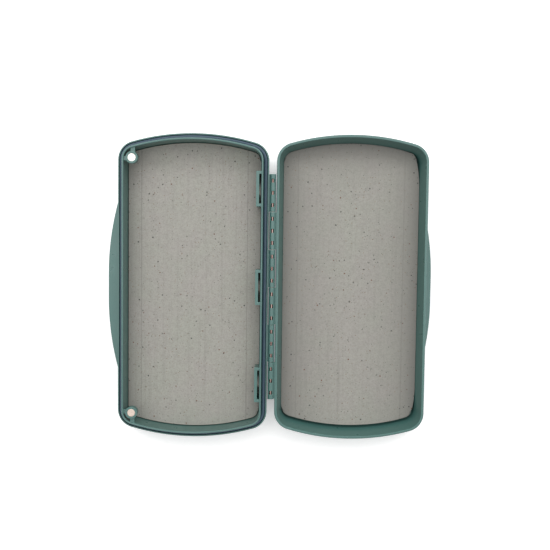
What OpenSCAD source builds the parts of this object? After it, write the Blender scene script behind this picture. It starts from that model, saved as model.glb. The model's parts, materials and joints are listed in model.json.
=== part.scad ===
// Fly box, lying open and flat on its two backs. The base tray has a raised sealing
// lip, the lid tray closes over it. A windowed pin hinge joins them along one long
// side, and magnets in the outer corners hold the box shut.
// X runs across both halves, base on the minus side. Y runs along the hinge. Z is up.
// The origin lies under the hinge, in the middle of the resting plane. Millimetres.

/* [Box] */
// Width of one half, without its thumb fin
half_w = 92.85; // [85:1:110]
// Length of one half, from bowed end to bowed end
half_l = 187.9; // [168:0.1:220]
// Depth of one half, from its back to the parting plane
half_d = 16; // [14.5:0.5:19]
// Radius of the corners, seen from above
corner_r = 11.5; // [10.5:0.5:14]
// Thickness of the flat back of each half
floor_t = 2; // [1.4:0.1:2.4]
// Lean of the outer walls, in degrees
outer_lean = 10; // [4:0.5:11]
// Rounding between the outer walls and the back
back_r = 6; // [3:0.5:6.5]
// Rounding on the outer edge of each rim
rim_edge_r = 0.5; // [0.2:0.1:0.6]
// Gap between the two rims when the box is shut
parting_gap = 0.2; // [0.1:0.05:0.4]

/* [Base lip and gasket] */
// Width of the base's outer rim
rim_w = 0.85; // [0.8:0.05:1]
// Distance from the outer face to the lip
lip_inset = 3.4; // [3.2:0.1:3.8]
// Thickness of the lip
lip_t = 1.15; // [1.1:0.05:1.6]
// Height of the lip above the parting plane
lip_h = 6; // [4:0.5:6.5]
// Rounding of the lip's two top edges
lip_edge_r = 0.45; // [0.2:0.05:0.5]
// Lean of the base's inner walls, in degrees
base_inner_lean = 1.5; // [0.5:0.5:2]
// Rounding between the base's inner walls and its floor
base_foot_r = 0.8; // [0.4:0.1:1]
// Depth of the gasket groove below the rim
groove_d = 2.6; // [2:0.1:3.2]
// Width of the gasket, which lies against the lip and leaves the outer part of the groove open
gasket_w = 1.6; // [1.2:0.1:1.9]
// Clearance between the gasket and the lip
gasket_gap = 0.1; // [0.05:0.05:0.2]
// Depth of the gasket's top below the rim
gasket_drop = 0.35; // [0.2:0.05:0.6]

/* [Lid walls] */
// Width of the lid's rim
lid_rim_w = 1.5; // [1.3:0.05:1.8]
// Lean of the lid's inner walls, in degrees
lid_inner_lean = 14; // [12:0.5:15]
// Rounding between the lid's inner walls and its floor
lid_foot_r = 2.5; // [1.5:0.1:3]

/* [Thumb fins] */
// Reach of the base's fin past the outer face
fin_out = 5.8; // [4:0.2:8]
// Length of the base's fin at the outer face
fin_l = 103; // [80:1:120]
// Length of the straight middle of a fin's edge
fin_flat_l = 16; // [6:1:30]
// Thickness of a fin at its edge
fin_t = 2.8; // [2:0.2:3.4]
// Rounding of a fin's edges
fin_edge_r = 0.8; // [0.4:0.1:0.9]
// Reach of the lid's fin past the outer face
lid_fin_out = 3.3; // [2:0.1:4]
// Depth of the lid fin's edge below the rim, which leaves room for a thumb
lid_fin_drop = 4; // [3.4:0.2:5]
// Rise of the lid's fin for each millimetre inwards from its edge
lid_fin_rise = 0.8; // [0:0.1:0.9]

/* [Hinge] */
// Length of the whole hinge
hinge_l = 139; // [120:1:150]
// Number of knuckles, shared in turn between the two halves
knuckle_count = 6; // [4:2:8]
// Gap between neighbouring knuckles
knuckle_gap = 0.3; // [0.2:0.1:0.8]
// Radius of the barrel
barrel_r = 1.9; // [1.5:0.05:2]
// Distance from the hinge axis to each outer face
hinge_reach = 2.35; // [2.2:0.05:2.8]
// Diameter of the hinge pin
pin_d = 1.3; // [1:0.1:1.6]
// Radial running clearance of the pin
pin_gap = 0.05; // [0.02:0.01:0.08]
// Number of windows in each knuckle
window_count = 3; // [1:1:3]
// Length of a window along the pin
window_l = 2.4; // [2:0.1:3]
// Width of a window across the pin
window_w = 2.1; // [1.9:0.1:2.6]
// Spacing of the windows
window_pitch = 7.4; // [5:0.1:7.6]

/* [Pads] */
// Thickness of the foam in the base
base_pad_t = 6; // [3:0.5:6.5]
// Thickness of the foam in the lid
lid_pad_t = 3; // [2.8:0.2:4.5]
// Clearance between a pad and the wall beside its foot
pad_gap = 0.1; // [0.05:0.05:0.4]
// Rounding of a pad's top edge
pad_edge_r = 0.4; // [0.2:0.1:0.6]
// Thickness of the backing sheets
backing_t = 0.6; // [0.4:0.1:1]
// Distance of a backing sheet's long edges from the outer faces
backing_side = 13.7; // [13.5:0.1:18]
// Distance of a backing sheet's short edges from the bowed ends
backing_end = 14.1; // [13.5:0.1:20]
// Corner radius of the backing sheets
backing_r = 4; // [2:0.5:8]

/* [Magnets] */
// Diameter of the magnets
magnet_d = 4.8; // [4:0.1:5]
// Thickness of the base's magnets
base_magnet_t = 3; // [2:0.2:4]
// Thickness of the lid's magnets
lid_magnet_t = 2.4; // [2:0.1:2.6]
// Clearance round a magnet in its pocket
magnet_gap = 0.05; // [0.02:0.01:0.1]
// Depth of a magnet's face below its boss
magnet_drop = 0.2; // [0.1:0.05:0.4]
// Distance of the magnets from the outer face
magnet_inset = 9.5; // [9:0.1:10.5]
// Distance of the magnets from the bowed end, measured on the centre line
magnet_end = 15.7; // [14.5:0.1:18]
// Wall of a boss round its magnet
boss_wall = 1.2; // [0.9:0.05:1.3]
// Thickness of a base boss under its magnet
boss_floor = 1; // [0.8:0.1:2]
// Depth of the base's bosses below the lip's top
boss_drop = 0.2; // [0:0.1:1]
// Thickness of the webs that tie a boss to the lip
web_t = 2.6; // [2:0.1:2.8]
// Depth of the webs below their boss
web_drop = 0.8; // [0.2:0.1:2]

/* [Snap sockets] */
// Number of sockets along the hinge side
socket_count = 3; // [1:1:3]
// Spacing of the sockets
socket_pitch = 60; // [40:1:60]
// Shift of the row of sockets along the hinge
socket_shift = 0.2; // [-4:0.2:4]
// Length of a socket's slot
slot_l = 18; // [12:0.5:22]
// Width of a socket's slot
slot_w = 1.4; // [1:0.1:2]
// Thickness of the bar in front of a slot
bar_t = 1.7; // [1.2:0.1:2]
// Thickness of the two arms beside a slot
arm_t = 1.7; // [1.2:0.1:2.4]
// Depth of a socket's top below the lip's top
socket_drop = 0.6; // [0.5:0.1:1]
// Gap between a socket and the pad under it
socket_lift = 0.3; // [0.2:0.1:0.6]
// Width of the arched catch window under the bar
arch_w = 6.6; // [4:0.2:8]
// Height of the catch window
arch_h = 9; // [5:0.5:9]

/* [Smoothness] */
// Steps round each edge rounding
edge_steps = 3; // [2:1:4]
// Smoothness of round parts
round_fn = 48; // [32:8:64]
// Smoothness of the bowed ends and the fins
wide_fn = 160; // [96:16:240]

/* [Hidden] */

shell_colour = [0.30, 0.46, 0.43];
gasket_colour = [0.20, 0.25, 0.28];
foam_colour = [0.62, 0.62, 0.59];
backing_colour = [0.25, 0.25, 0.26];
metal_colour = [0.80, 0.79, 0.77];

// How far joined solids run into each other
bite = 0.5;
// How far a fin runs into its wall
fin_bite = 0.35;
// How far a window is cut below the bore
window_sink = 0.25;
// Depth of a knuckle's web below the axis, as a share of the barrel's radius
web_share = 0.9;
// How far a slot is cut into the lip's thickness, which then fills it again
slot_sink = 0.2;
// How far inside the boss's inner side a web starts
web_back = 1.8;
// A small length past a face, for cuts
margin = 1;
// Slope of the line on which a corner meets the bowed end: 7 across, 24 along, 25 in length.
// Its bisector runs 4 across and 3 along. Whole numbers keep the swept pieces in line.
slope_x = 7;
slope_y = 24;
slope_length = 25;
bisector_x = 4;
bisector_y = 3;
// Step to which the radius of the bowed ends is rounded, for the same reason
end_step = 0.25;
// Inner radius at the corners of everything that is swept round the outline
core_r = 1;
// How far the plate in the middle runs into what is swept
core_bite = 0.25;
// A length past every surface, for cuts
past = 60;

// Profiles are kept to hundredths, so that swept pieces meet without a gap
function neat(v) = round(v * 100) / 100;

bow_r = end_step * round((half_w / 2 - corner_r) * slope_length / slope_x / end_step);
corner_cx = bow_r * slope_x / slope_length;
side_x = corner_cx + corner_r;
half_cx = hinge_reach + side_x;
end_r = bow_r + corner_r;
end_y = neat(half_l / 2);
end_cy = end_y - end_r;
corner_cy = end_cy + bow_r * slope_y / slope_length;
core_inset = corner_r - core_r;
rim_z = half_d - parting_gap / 2;
wall_top = rim_z - rim_edge_r;
lip_z = half_d + lip_h;
lip_side_z = lip_z - lip_edge_r;
lip_inner = lip_inset + lip_t;
groove_z = rim_z - groove_d;
fin_r = neat((pow((fin_l - fin_flat_l) / 2, 2) + pow(fin_out, 2)) / (2 * fin_out));
pad_z = floor_t + backing_t;
base_pad_top = pad_z + base_pad_t;
lid_pad_top = pad_z + lid_pad_t;
pin_r = pin_d / 2;
bore_r = pin_r + pin_gap;
knuckle_pitch = hinge_l / knuckle_count;
magnet_r = magnet_d / 2;
pocket_r = magnet_r + magnet_gap;
boss_r = pocket_r + boss_wall;
boss_x = side_x - magnet_inset;
boss_y = end_y - magnet_end;
base_boss_z = lip_z - boss_drop;
lid_boss_z = floor_t + magnet_drop + lid_magnet_t;
socket_l = slot_l + 2 * arm_t;
socket_z0 = base_pad_top + socket_lift;
socket_z1 = lip_z - socket_drop;

function flipped(points) = [for (i = [len(points) - 1 : -1 : 0]) points[i]];

// Profiles are lists of points, each an inset from the outer face and a height.

// Rounded foot between a leaning wall and a floor
function foot(top_inset, top_z, lean, r, floor_z) =
  let (
    z = floor_z + r * (1 - sin(lean)),
    c = top_inset + (top_z - z) * tan(lean) + r * cos(lean)
  )
  [for (i = [0 : edge_steps])
    let (a = lean + (90 - lean) * i / edge_steps) [c - r * cos(a), floor_z + r * (1 - sin(a))]];

// Rounded outer edge from a wall up to a flat top
function rising_edge(inset, z, r) =
  [for (i = [0 : edge_steps]) let (a = 90 * i / edge_steps) [inset + r * (1 - cos(a)), z - r * (1 - sin(a))]];

// Rounded inner edge from a flat top down to a wall
function falling_edge(inset, z, r) =
  [for (i = [0 : edge_steps]) let (a = 90 * i / edge_steps) [inset - r * (1 - sin(a)), z - r * (1 - cos(a))]];

// Inset of the outer surface at a height
function outer_inset(z) =
  let (
    tangent_z = back_r * (1 - sin(outer_lean)),
    c = (wall_top - tangent_z) * tan(outer_lean) + back_r * cos(outer_lean)
  )
  z >= tangent_z
    ? max(0, (wall_top - z) * tan(outer_lean))
    : c - sqrt(pow(back_r, 2) - pow(back_r - z, 2));

// Inset of an inner surface at a height, foot included
function inner_inset(top_inset, top_z, lean, r, z) =
  let (
    tangent_z = floor_t + r * (1 - sin(lean)),
    c = top_inset + (top_z - tangent_z) * tan(lean) + r * cos(lean)
  )
  z >= tangent_z
    ? top_inset + (top_z - z) * tan(lean)
    : c - sqrt(pow(r, 2) - pow(floor_t + r - z, 2));

function base_inner(z) = inner_inset(lip_inner, lip_side_z, base_inner_lean, base_foot_r, z);
function lid_inner(z) = inner_inset(lid_rim_w, rim_z, lid_inner_lean, lid_foot_r, z);

// A half is drawn about its own middle, with its hinge side at minus X.

module on_lid() {
  translate([half_cx, 0, 0]) children();
}

module on_base() {
  mirror([1, 0, 0]) on_lid() children();
}

module both_ends() {
  children();
  mirror([0, 1, 0]) children();
}

module both_sides() {
  children();
  mirror([1, 0, 0]) children();
}

// Half of one swept corner, from the side to the corner's bisector
module half_corner(points) {
  intersection() {
    rotate_extrude($fn = round_fn) polygon([for (p = points) [corner_r - p[0], p[1]]]);
    linear_extrude(past) polygon(corner_r * [[0, 0], [bisector_x, 0], [bisector_x, bisector_y]]);
  }
}

// Sweeps a profile round a half: two straight sides, four corners and two bowed ends
module swept(profile) {
  points = [for (p = profile) [neat(p[0]), neat(p[1])]];
  both_sides() {
    translate([0, corner_cy, 0]) rotate([90, 0, 0])
      linear_extrude(2 * corner_cy) polygon([for (p = points) [side_x - p[0], p[1]]]);
    both_ends() {
      translate([corner_cx, corner_cy, 0]) {
        half_corner(points);
        mirror([bisector_y, -bisector_x, 0]) half_corner(points);
      }
      translate([0, end_cy, 0]) intersection() {
        rotate([0, 0, atan2(slope_y, slope_x)])
          rotate_extrude($fn = wide_fn) polygon([for (p = points) [end_r - p[0], p[1]]]);
        linear_extrude(past) polygon(corner_r * [[0, 0], [slope_x, slope_y], [0, slope_y]]);
      }
    }
  }
}

// Plate that closes the middle of what was swept
module core(z, height) {
  inset = core_inset - core_bite;
  r = corner_r - inset;
  steps = 8;
  turn = atan2(slope_y, slope_x);
  corner = [for (i = [0 : 2]) let (a = turn * i / 2) [corner_cx + r * cos(a), corner_cy + r * sin(a)]];
  end = [for (i = [1 : steps - 1])
    let (a = turn + (180 - 2 * turn) * i / steps)
    [(end_r - inset) * cos(a), end_cy + (end_r - inset) * sin(a)]];
  upper = concat(corner, end, flipped([for (p = corner) [-p[0], p[1]]]));
  translate([0, 0, z]) linear_extrude(height) polygon(concat(upper, flipped([for (p = upper) [p[0], -p[1]]])));
}

// Solid over the whole half, from a profile that starts and ends on flat faces
module filled(profile) {
  z0 = neat(profile[0][1]);
  z1 = neat(profile[len(profile) - 1][1]);
  swept(concat([[core_inset, z0]], profile, [[core_inset, z1]]));
  core(z0, z1 - z0);
}

// Outside of a tray, from the edge of its flat back up to the rim
outer_profile = concat(
  flipped(foot(0, wall_top, outer_lean, back_r, 0)),
  rising_edge(0, rim_z, rim_edge_r)
);

module base_tray() {
  filled(concat(
    outer_profile,
    [[rim_w, rim_z], [rim_w, groove_z], [lip_inset, groove_z]],
    rising_edge(lip_inset, lip_z, lip_edge_r),
    falling_edge(lip_inner, lip_z, lip_edge_r),
    foot(lip_inner, lip_side_z, base_inner_lean, base_foot_r, floor_t)
  ));
}

module lid_tray() {
  filled(concat(
    outer_profile,
    [[lid_rim_w, rim_z]],
    foot(lid_rim_w, rim_z, lid_inner_lean, lid_foot_r, floor_t)
  ));
}

// Thumb fin: a straight middle and two arcs, cut off inside the wall it grows from.
// Its upper face rises inwards from the edge.
module fin(out, top, rise) {
  low = top - fin_t;
  inner = out + corner_r;
  high = top + rise * (inner - fin_edge_r);
  edge = rising_edge(0, top, fin_edge_r);
  profile = concat(
    [[inner, low]],
    [for (p = flipped(edge)) [p[0], low + top - p[1]]],
    edge,
    [[inner, high]]
  );
  points = [for (p = profile) [neat(p[0]), neat(p[1])]];
  root_low = side_x - max(outer_inset(low), rim_edge_r) - fin_bite;
  root_top = side_x - max(outer_inset(top), rim_edge_r) - fin_bite;
  slope = (root_top - root_low) / fin_t;
  outer_x = side_x + out;
  cut_low = low - margin;
  cut_high = high + margin;
  intersection() {
    union() {
      translate([outer_x, fin_flat_l / 2, 0]) rotate([90, 0, 0])
        linear_extrude(fin_flat_l) polygon([for (p = points) [-p[0], p[1]]]);
      both_ends() translate([outer_x - fin_r, fin_flat_l / 2, 0]) intersection() {
        rotate_extrude($fn = wide_fn) polygon([for (p = points) [fin_r - p[0], p[1]]]);
        cube([2 * fin_r, fin_l, past]);
      }
    }
    translate([0, fin_l, 0]) rotate([90, 0, 0])
      linear_extrude(2 * fin_l)
        polygon([
          [root_low + slope * (cut_low - low), cut_low],
          [outer_x + margin, cut_low],
          [outer_x + margin, cut_high],
          [root_low + slope * (cut_high - low), cut_high]
        ]);
  }
}

// Hinge parts, drawn about the hinge axis

module along_y(length, r) {
  rotate([90, 0, 0]) cylinder(h = length, r = r, center = true, $fn = round_fn);
}

// Knuckles of one half: barrels, and webs that reach sideways under the rim into the wall
module knuckles(first, side) {
  length = knuckle_pitch - knuckle_gap;
  web_x = hinge_reach + rim_w / 2;
  web_z = -web_share * barrel_r;
  web_top = -(parting_gap / 2 + knuckle_gap / 2);
  for (k = [first : 2 : knuckle_count - 1]) {
    translate([0, hinge_l / 2 - knuckle_pitch * (k + 0.5), half_d])
      difference() {
        union() {
          along_y(length, barrel_r);
          translate([min(0, side * web_x), -length / 2, web_z])
            cube([web_x, length, web_top - web_z]);
        }
        along_y(length + bite, bore_r);
        for (i = [0 : window_count - 1])
          translate([0, window_pitch * (i - (window_count - 1) / 2), 0])
            translate([-window_w / 2, -window_l / 2, -(bore_r + window_sink)])
              cube([window_w, window_l, past]);
      }
  }
}

// Magnet bosses, and the webs that tie a boss to the lip

module at_magnets() {
  both_ends() translate([boss_x, boss_y, 0]) children();
}

// A base boss hangs in its corner, clear of the foam under it
module base_boss() {
  pocket_z = base_boss_z - base_magnet_t - magnet_drop;
  z0 = pocket_z - boss_floor;
  web_h = base_boss_z - web_drop - z0;
  mid_lip = lip_inset + lip_t / 2;
  side_l = magnet_inset - mid_lip;
  web_x = boss_x - boss_r + web_back + web_t / 2;
  web_end_y = end_cy + sqrt(pow(end_r - mid_lip, 2) - pow(web_x, 2));
  difference() {
    union() {
      translate([0, 0, z0]) cylinder(h = base_boss_z - z0, r = boss_r, $fn = round_fn);
      translate([0, web_back - boss_r, z0]) cube([side_l, web_t, web_h]);
      translate([web_back - boss_r, 0, z0]) cube([web_t, web_end_y - boss_y, web_h]);
    }
    translate([0, 0, pocket_z]) cylinder(h = past, r = pocket_r, $fn = round_fn);
  }
}

module lid_boss() {
  z0 = floor_t - bite;
  difference() {
    translate([0, 0, z0]) cylinder(h = lid_boss_z - z0, r = boss_r, $fn = round_fn);
    translate([0, 0, lid_boss_z - lid_magnet_t]) cylinder(h = past, r = pocket_r, $fn = round_fn);
  }
}

// Snap sockets on the inner face of the lip, along the hinge side

module socket() {
  height = socket_z1 - socket_z0;
  root = lip_t / 2;
  translate([lip_inner - side_x, 0, socket_z0])
    difference() {
      translate([-root, -socket_l / 2, 0]) cube([root + slot_w + bar_t, socket_l, height]);
      translate([-slot_sink, -slot_l / 2, -bite]) cube([slot_w + slot_sink, slot_l, height + 2 * bite]);
      translate([slot_w / 2, -arch_w / 2, -bite]) cube([past, arch_w, arch_h - arch_w / 2 + bite]);
      translate([slot_w / 2, 0, arch_h - arch_w / 2])
        rotate([0, 90, 0]) cylinder(h = past, r = arch_w / 2, $fn = round_fn);
    }
}

// The pieces

module base_shell() {
  color(shell_colour) {
    on_base() {
      base_tray();
      fin(fin_out, rim_z, 0);
      at_magnets() base_boss();
      for (i = [0 : socket_count - 1])
        translate([0, socket_shift + socket_pitch * (i - (socket_count - 1) / 2), 0]) socket();
    }
    knuckles(0, -1);
  }
}

module lid_shell() {
  color(shell_colour) {
    on_lid() {
      lid_tray();
      fin(lid_fin_out, rim_z - lid_fin_drop, lid_fin_rise);
      at_magnets() lid_boss();
    }
    knuckles(1, 1);
  }
}

module hinge_pin() {
  color(metal_colour) translate([0, 0, half_d]) along_y(hinge_l - 2 * knuckle_gap, pin_r);
}

module gasket() {
  inside = lip_inset - gasket_gap;
  outside = inside - gasket_w;
  top = rim_z - gasket_drop;
  profile = concat(
    [[outside, groove_z]],
    rising_edge(outside, top, lip_edge_r),
    falling_edge(inside, top, lip_edge_r),
    [[inside, groove_z]]
  );
  color(gasket_colour) on_base() swept(profile);
}

module base_pad() {
  inset = base_inner(pad_z) + pad_gap;
  color(foam_colour) on_base() filled(concat([[inset, pad_z]], rising_edge(inset, base_pad_top, pad_edge_r)));
}

module lid_pad() {
  inset = lid_inner(lid_pad_top) + pad_gap;
  profile = concat(
    [[lid_inner(pad_z) + pad_gap, pad_z]],
    rising_edge(inset, lid_pad_top, pad_edge_r)
  );
  color(foam_colour) on_lid() difference() {
    filled(profile);
    at_magnets() cylinder(h = lid_boss_z + magnet_drop, r = boss_r + pad_gap, $fn = round_fn);
  }
}

module backing() {
  corner_x = side_x - backing_side - backing_r;
  corner_y = end_y - backing_end - backing_r;
  steps = 6;
  quarter = [for (i = [0 : steps]) let (a = 90 * i / steps) [corner_x, corner_y] + backing_r * [cos(a), sin(a)]];
  upper = concat(quarter, flipped([for (p = quarter) [-p[0], p[1]]]));
  color(backing_colour) translate([0, 0, floor_t])
    linear_extrude(backing_t) polygon(concat(upper, flipped([for (p = upper) [p[0], -p[1]]])));
}

module base_backing() {
  on_base() backing();
}

module lid_backing() {
  on_lid() backing();
}

module magnet(s, thickness, z) {
  color(metal_colour) translate([boss_x, s * boss_y, z]) cylinder(h = thickness, r = magnet_r, $fn = round_fn);
}

module base_magnet(s) {
  on_base() magnet(s, base_magnet_t, base_boss_z - magnet_drop - base_magnet_t);
}

module lid_magnet(s) {
  on_lid() magnet(s, lid_magnet_t, lid_boss_z - lid_magnet_t);
}

base_shell();
lid_shell();
hinge_pin();
gasket();
base_pad();
lid_pad();
base_backing();
lid_backing();
base_magnet(1);  // base_magnet_upper
base_magnet(-1);  // base_magnet_lower
lid_magnet(1);  // lid_magnet_upper
lid_magnet(-1);  // lid_magnet_lower
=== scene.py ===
"""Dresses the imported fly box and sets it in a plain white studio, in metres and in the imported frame."""

from __future__ import annotations

import json
import logging
import math
from dataclasses import dataclass, field
from enum import Enum
from typing import Sequence

import bpy
from mathutils import Matrix, Vector, noise

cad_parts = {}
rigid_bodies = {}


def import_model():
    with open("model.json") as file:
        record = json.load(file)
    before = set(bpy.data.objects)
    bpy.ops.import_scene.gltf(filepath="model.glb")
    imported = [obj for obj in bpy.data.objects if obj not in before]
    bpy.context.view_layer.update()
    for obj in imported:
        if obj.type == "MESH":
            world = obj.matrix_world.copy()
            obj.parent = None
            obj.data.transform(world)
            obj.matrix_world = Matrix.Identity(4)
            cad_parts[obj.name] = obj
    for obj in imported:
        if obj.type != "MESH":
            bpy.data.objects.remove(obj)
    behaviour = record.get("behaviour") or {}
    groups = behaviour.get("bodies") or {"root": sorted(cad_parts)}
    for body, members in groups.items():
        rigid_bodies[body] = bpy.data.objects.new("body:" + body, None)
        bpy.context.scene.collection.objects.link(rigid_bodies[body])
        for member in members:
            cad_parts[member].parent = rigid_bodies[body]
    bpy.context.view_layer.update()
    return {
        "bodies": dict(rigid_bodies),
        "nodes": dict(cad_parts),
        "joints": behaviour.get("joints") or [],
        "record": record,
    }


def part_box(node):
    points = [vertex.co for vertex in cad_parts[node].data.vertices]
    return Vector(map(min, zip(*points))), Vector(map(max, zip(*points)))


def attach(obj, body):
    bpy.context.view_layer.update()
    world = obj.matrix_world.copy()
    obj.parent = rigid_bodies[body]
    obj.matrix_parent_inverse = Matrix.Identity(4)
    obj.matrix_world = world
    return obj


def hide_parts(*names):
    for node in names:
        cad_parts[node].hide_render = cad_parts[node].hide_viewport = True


log = logging.getLogger("fly_box")

MM = 0.001
EDGE_ROUND = 0.40 * MM
# Name of the per-point mask of the foam's rounded edge, which is paled: partly the paler cut foam, partly a
# painted highlight.
LIT_CUT_EDGE = "lit_cut_edge"
# Name of the per-point share of painted shade near the foam's walls.
PAINTED_WALL_SHADE = "painted_wall_shade"
WHITE = (1.0, 1.0, 1.0, 1.0)
Colour = tuple[float, float, float]
Point = tuple[float, float, float]
Face = tuple[int, ...]
Span = tuple[float, float]


class Body(Enum):
    """The two rigid bodies of the box."""

    BASE = "base"
    LID = "lid"


class Slot(Enum):
    """Names of material slots for the pieces that are built here; nothing in this script uses them."""

    GASKET = "gasket"
    FOAM = "foam"


# Node tools


class Nodes:
    """A thin helper that adds and links shader nodes in one tree."""

    MIX_FACTOR_IN = 0
    MIX_COLOURS_IN = (6, 7)
    MIX_COLOUR_OUT = 2

    def __init__(self, tree: bpy.types.NodeTree) -> None:
        """Starts on the tree that the nodes are added to."""
        self.tree = tree

    def add(self, kind: str, **settings: object) -> bpy.types.Node:
        """Adds a node.

        Args:
            kind: Blender's name of the node type.
            **settings: Properties of the node, by name.

        Returns:
            The new node.
        """
        node = self.tree.nodes.new(kind)
        for name, value in settings.items():
            setattr(node, name, value)
        return node

    def link(self, source: bpy.types.NodeSocket, target: bpy.types.NodeSocket) -> None:
        """Links one socket to another."""
        self.tree.links.new(source, target)

    def put(self, target: bpy.types.NodeSocket, value: object) -> None:
        """Links an input to a socket, or sets it to a constant."""
        if isinstance(value, bpy.types.NodeSocket):
            self.link(value, target)
        else:
            target.default_value = value

    def feed(self, node: bpy.types.Node, values: dict[str, object]) -> None:
        """Sets or links a node's inputs, by their names."""
        for name, value in values.items():
            self.put(node.inputs[name], value)

    def math(self, operation: str, a: object, b: object = 0.0, clamp: bool = False) -> bpy.types.NodeSocket:
        """Adds a Math node.

        Args:
            operation: The Math node's operation.
            a: First value or socket.
            b: Second value or socket.
            clamp: Whether the result is kept between 0 and 1.

        Returns:
            The result's socket.
        """
        node = self.add("ShaderNodeMath", operation=operation, use_clamp=clamp)
        for index, value in enumerate((a, b)):
            self.put(node.inputs[index], value)
        return node.outputs[0]

    def blend(self, factor: object, a: object, b: object) -> bpy.types.NodeSocket:
        """Mixes two colours.

        Args:
            factor: Share of the second colour.
            a: First colour or socket.
            b: Second colour or socket.

        Returns:
            The mixed colour's socket.
        """
        node = self.add("ShaderNodeMix", data_type="RGBA")
        self.put(node.inputs[self.MIX_FACTOR_IN], factor)
        for index, value in zip(self.MIX_COLOURS_IN, (a, b)):
            opaque = value if isinstance(value, bpy.types.NodeSocket) else (*value, 1.0)
            self.put(node.inputs[index], opaque)
        return node.outputs[self.MIX_COLOUR_OUT]

    def remap(
        self, value: object, span: Span, to_low: float = 0.0, to_high: float = 1.0
    ) -> bpy.types.NodeSocket:
        """Maps a value from one range to another, held at both ends.

        Args:
            value: The value or socket.
            span: Start and end of the range that comes in.
            to_low: Result at the start.
            to_high: Result at the end.

        Returns:
            The result's socket.
        """
        node = self.add("ShaderNodeMapRange", clamp=True)
        self.feed(node, {"Value": value, "From Min": span[0], "From Max": span[1]})
        self.feed(node, {"To Min": to_low, "To Max": to_high})
        return node.outputs["Result"]

    def noise(
        self, vector: object, scale: object, detail: float = 3.0, roughness: float = 0.5
    ) -> bpy.types.NodeSocket:
        """Adds a noise texture, its scale in cycles a metre, and returns its grey value."""
        node = self.add("ShaderNodeTexNoise")
        self.feed(node, {"Vector": vector, "Scale": scale, "Detail": detail, "Roughness": roughness})
        return node.outputs["Fac"]

    def place(self) -> bpy.types.NodeSocket:
        """Returns the socket of the object's own coordinates."""
        return self.add("ShaderNodeTexCoord").outputs["Object"]

    def stretched(self, vector: object, factors: Sequence[float]) -> bpy.types.NodeSocket:
        """Scales a place along X, Y and Z; a small factor draws a pattern out along its axis."""
        node = self.add("ShaderNodeVectorMath", operation="MULTIPLY")
        self.link(vector, node.inputs[0])
        node.inputs[1].default_value = tuple(factors)
        return node.outputs[0]

    def shifted(self, vector: object, shift: object) -> bpy.types.NodeSocket:
        """Moves a place by a constant or by a socket's value."""
        node = self.add("ShaderNodeVectorMath", operation="ADD")
        self.link(vector, node.inputs[0])
        self.put(node.inputs[1], shift)
        return node.outputs[0]


@dataclass(frozen=True)
class Tint:
    """How a mask lays one colour over another: the mask's range, and the share where it is full."""

    low: float
    high: float
    share: float

    def lay(self, nodes: Nodes, mask: object, under: object, over: object) -> bpy.types.NodeSocket:
        """Lays the second colour over the first where the mask is full."""
        return nodes.blend(nodes.remap(mask, (self.low, self.high), 0.0, self.share), under, over)


def new_group(
    name: str, inputs: dict[str, float], outputs: dict[str, str], placed: bool = True
) -> tuple[bpy.types.NodeTree, Nodes, bpy.types.Node, bpy.types.Node]:
    """Starts a shader node group.

    Args:
        name: Name of the group.
        inputs: Default of each number that goes in, by name.
        outputs: Socket type of each thing that comes out, by name.
        placed: Whether the group also takes a place.

    Returns:
        The group, the helper for it, and its input and output nodes.
    """
    tree = bpy.data.node_groups.new(name, "ShaderNodeTree")
    if placed:
        tree.interface.new_socket("Place", in_out="INPUT", socket_type="NodeSocketVector")
    for key, value in inputs.items():
        socket = tree.interface.new_socket(key, in_out="INPUT", socket_type="NodeSocketFloat")
        socket.default_value = value
    for key, kind in outputs.items():
        tree.interface.new_socket(key, in_out="OUTPUT", socket_type=kind)
    nodes = Nodes(tree)
    return tree, nodes, nodes.add("NodeGroupInput"), nodes.add("NodeGroupOutput")


def moulded_grain() -> bpy.types.NodeTree:
    """Builds the fine skin of a moulded piece.

    Returns:
        A group that gives a height for bump, a slow cloudiness, and a fine mask for roughness.
    """
    tree, nodes, source, result = new_group(
        "moulded_grain",
        {"Fine": 2600.0, "Coarse": 22.0},
        {"Height": "NodeSocketFloat", "Cloud": "NodeSocketFloat", "Patch": "NodeSocketFloat"},
    )
    pits_to_fine = 0.45
    patches_to_coarse = 7.0
    pit_share = 0.4
    place = source.outputs["Place"]
    fine = nodes.noise(place, source.outputs["Fine"], detail=2.0)
    pits = nodes.add("ShaderNodeTexVoronoi", feature="SMOOTH_F1")
    pit_scale = nodes.math("MULTIPLY", source.outputs["Fine"], pits_to_fine)
    nodes.feed(pits, {"Vector": place, "Scale": pit_scale})
    cloud = nodes.noise(place, source.outputs["Coarse"], detail=4.0)
    patch_scale = nodes.math("MULTIPLY", source.outputs["Coarse"], patches_to_coarse)
    patch = nodes.noise(place, patch_scale, detail=5.0)
    deep = nodes.math("MULTIPLY", pits.outputs["Distance"], pit_share)
    height = nodes.math("ADD", nodes.math("MULTIPLY", fine, 1.0 - pit_share), deep)
    nodes.link(height, result.inputs["Height"])
    nodes.link(cloud, result.inputs["Cloud"])
    nodes.link(patch, result.inputs["Patch"])
    return tree


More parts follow.
